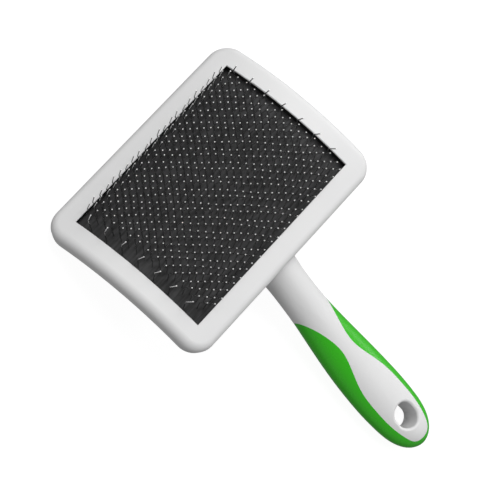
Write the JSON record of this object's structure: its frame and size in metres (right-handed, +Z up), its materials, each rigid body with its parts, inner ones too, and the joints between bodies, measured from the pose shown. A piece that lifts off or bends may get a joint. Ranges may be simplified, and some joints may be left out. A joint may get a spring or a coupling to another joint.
{
  "type": "slicker brush",
  "caption": "Pet slicker brush with a curved white head, a dark sprung pad of bent steel wires, and a white handle with a soft green grip and a hang hole",
  "frame": {"origin": "centre of the bounding box on the surface that the brush lies on, below its back", "axes": "+X along the head's long side, +Y from the handle towards the head, +Z up, out of the wire side; the brush lies on its back on the head's far edge and the end of the handle"},
  "size_m": [0.1332, 0.208, 0.0509],
  "materials": {
    "white_plastic": "semi-gloss white moulding",
    "green_grip": "satin soft-touch overmould",
    "foam": "matte open-cell foam",
    "pad_face": "matte black rubber",
    "pad_backing": "plain woven cotton",
    "steel_wire": "bright drawn wire"
  },
  "bodies": {
    "brush": {"front_frame": "white_plastic", "window_seal": "pad_face", "handle_and_back_shell": "white_plastic", "grip_overmould": "green_grip", "pad_foam": "foam"},
    "wire_pad": {"pad_rubber": "pad_face", "pad_cloth": "pad_backing", "wire_row_01": "steel_wire", "wire_row_02": "steel_wire", "wire_row_03": "steel_wire", "wire_row_04": "steel_wire", "wire_row_05": "steel_wire", "wire_row_06": "steel_wire", "wire_row_07": "steel_wire", "wire_row_08": "steel_wire", "wire_row_09": "steel_wire", "wire_row_10": "steel_wire", "wire_row_11": "steel_wire", "wire_row_12": "steel_wire", "wire_row_13": "steel_wire", "wire_row_14": "steel_wire", "wire_row_15": "steel_wire", "wire_row_16": "steel_wire", "wire_row_17": "steel_wire", "wire_row_18": "steel_wire", "wire_row_19": "steel_wire", "wire_row_20": "steel_wire", "wire_row_21": "steel_wire", "wire_row_22": "steel_wire", "wire_row_23": "steel_wire", "wire_row_24": "steel_wire", "wire_row_25": "steel_wire", "wire_row_26": "steel_wire", "wire_row_27": "steel_wire", "wire_row_28": "steel_wire", "wire_row_29": "steel_wire", "wire_row_30": "steel_wire"}
  },
  "joints": [
    {"name": "pad_press", "type": "slide", "parent": "brush", "child": "wire_pad", "axis": [0, -0.3371, -0.9415], "range_m": [0, 0.0012], "stiffness_N_per_m": 3000, "deforming": ["pad_foam"]}
  ]
}
